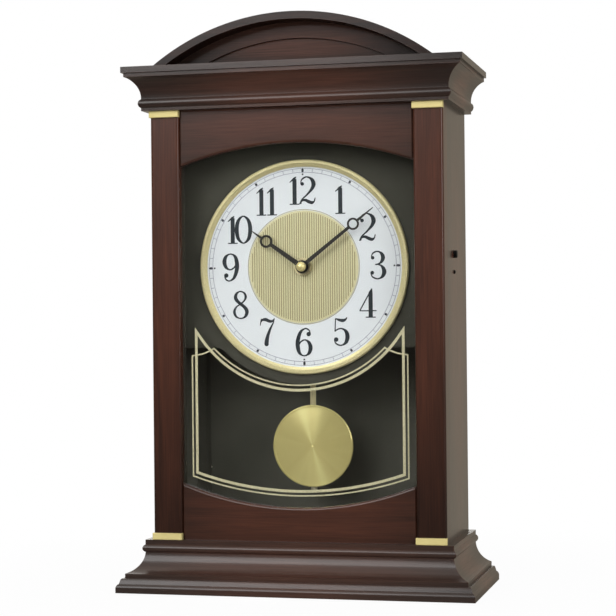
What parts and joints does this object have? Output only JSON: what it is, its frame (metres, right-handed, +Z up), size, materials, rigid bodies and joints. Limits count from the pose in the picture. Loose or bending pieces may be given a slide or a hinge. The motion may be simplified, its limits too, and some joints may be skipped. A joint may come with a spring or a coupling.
{
  "type": "mantel clock",
  "caption": "Wooden mantel clock with a moulded base, arched pediment and glazed front, a round dial with turning hands, a swinging pendulum, a push button and a hinged back door.",
  "frame": {"origin": "middle of the footprint's bounding box, on the surface that the clock stands on", "axes": "+X to the right seen from the front, +Y from the front to the back, +Z up"},
  "size_m": [0.2542, 0.114, 0.4049],
  "materials": {
    "walnut_stain": "satin-gloss walnut stain with fine grain",
    "inner_wood": "matt stained board",
    "felt": "felt",
    "cap_brass": "polished pale brass",
    "pane_glass": "clear, with a gold line border printed on its back",
    "charcoal_board": "matt charcoal paint",
    "dial_white": "matt white print",
    "dial_gold": "gilt, satin",
    "hand_black": "satin",
    "nut_gold": "polished",
    "arbor_brass": "turned",
    "gear_nylon": "moulded nylon",
    "movement_plastic": "fine matt moulding",
    "coil_copper": "enamelled copper wire",
    "cell_jacket": "plain jacket",
    "contact_steel": "plated spring steel",
    "pendulum_gold": "radially brushed gold anodising",
    "rod_brass": "satin",
    "hanger_plastic": "matt moulding",
    "nut_nickel": "nickel plated",
    "hinge_brass": "satin",
    "screw_steel": "yellow zinc plated",
    "magnet_black": "ferrite block",
    "speaker_black": "dark frame and paper cone",
    "button_black": "gloss with a lighter centre",
    "lens_dark": "dark tinted"
  },
  "bodies": {
    "case": {"base_moulding_front": "walnut_stain", "base_moulding_left": "walnut_stain", "base_moulding_right": "walnut_stain", "side_panel_left": "walnut_stain", "side_panel_right": "walnut_stain", "pilaster_left": "walnut_stain", "pilaster_right": "walnut_stain", "top_rail": "walnut_stain", "bottom_rail": "walnut_stain", "cornice_moulding_front": "walnut_stain", "cornice_moulding_left": "walnut_stain", "cornice_moulding_right": "walnut_stain", "cornice_slab": "walnut_stain", "pediment_arch": "walnut_stain", "pediment_board": "walnut_stain", "base_board": "inner_wood", "base_back_rail": "inner_wood", "top_board": "inner_wood", "case_battens": "inner_wood", "back_panel": "inner_wood", "felt_pads": "felt", "brass_caps": "cap_brass", "glass_pane": "pane_glass", "dial_board": "charcoal_board", "dial_plate": "dial_white", "dial_centre_disc": "dial_gold", "dial_ring": "dial_gold", "centre_bush": "arbor_brass", "bush_nut": "arbor_brass", "movement_case": "movement_plastic", "movement_plate": "movement_plastic", "movement_cover": "movement_plastic", "switch_housing": "movement_plastic", "drive_coils": "coil_copper", "battery_cells": "cell_jacket", "battery_contacts": "contact_steel", "hinge_case_leaves": "hinge_brass", "hinge_pins": "hinge_brass", "panel_screws": "screw_steel", "door_magnet": "magnet_black", "speaker": "speaker_black", "sensor_lens": "lens_dark"},
    "minute_train": {"minute_arbor": "arbor_brass", "minute_hand": "hand_black", "hand_nut": "nut_gold"},
    "hour_train": {"hour_wheel": "gear_nylon", "hour_hand": "hand_black"},
    "setting_train": {"minute_wheel": "gear_nylon", "setting_knob": "movement_plastic"},
    "pendulum": {"pendulum_hanger": "hanger_plastic", "pendulum_rod": "rod_brass", "pendulum_bob": "pendulum_gold", "rating_nut": "nut_nickel"},
    "battery_lid": {"battery_cover": "movement_plastic"},
    "volume_control": {"volume_knob": "movement_plastic"},
    "door": {"back_door": "inner_wood", "door_knob": "hinge_brass", "hinge_door_leaves": "hinge_brass", "hinge_screws": "screw_steel"},
    "button": {"chime_button": "button_black"}
  },
  "joints": [
    {"name": "minute_hand_turn", "type": "hinge", "parent": "case", "child": "minute_train", "pos_m": [0, -0.0172, 0.2287], "axis": [0, 1, 0], "continuous": true},
    {"name": "hour_hand_turn", "type": "hinge", "parent": "case", "child": "hour_train", "pos_m": [0, -0.0172, 0.2287], "axis": [0, 1, 0], "continuous": true},
    {"name": "setting_knob_turn", "type": "hinge", "parent": "case", "child": "setting_train", "pos_m": [0, 0.0152, 0.2383], "axis": [0, 1, 0], "continuous": true},
    {"name": "pendulum_swing", "type": "hinge", "parent": "case", "child": "pendulum", "pos_m": [0, 0.0119, 0.206], "axis": [0, 1, 0], "range_deg": [-8, 8]},
    {"name": "battery_cover_slide", "type": "slide", "parent": "case", "child": "battery_lid", "axis": [-1, 0, 0], "range_m": [0, 0.016]},
    {"name": "volume_knob_turn", "type": "hinge", "parent": "case", "child": "volume_control", "pos_m": [0.021, 0.0125, 0.2377], "axis": [0, 1, 0], "range_deg": [0, 270]},
    {"name": "back_door_hinge", "type": "hinge", "parent": "case", "child": "door", "pos_m": [-0.0942, 0.05515, 0.146], "axis": [0, 0, 1], "range_deg": [0, 110]},
    {"name": "chime_button_press", "type": "slide", "parent": "case", "child": "button", "axis": [-1, 0, 0], "range_m": [0, 0.0015], "stiffness_N_per_m": 300, "springref_m": -0.001}
  ],
  "couplings": [
    {"joint": "hour_hand_turn", "follows": "minute_hand_turn", "ratio": 0.083333},
    {"joint": "setting_knob_turn", "follows": "minute_hand_turn", "ratio": -0.33333}
  ]
}
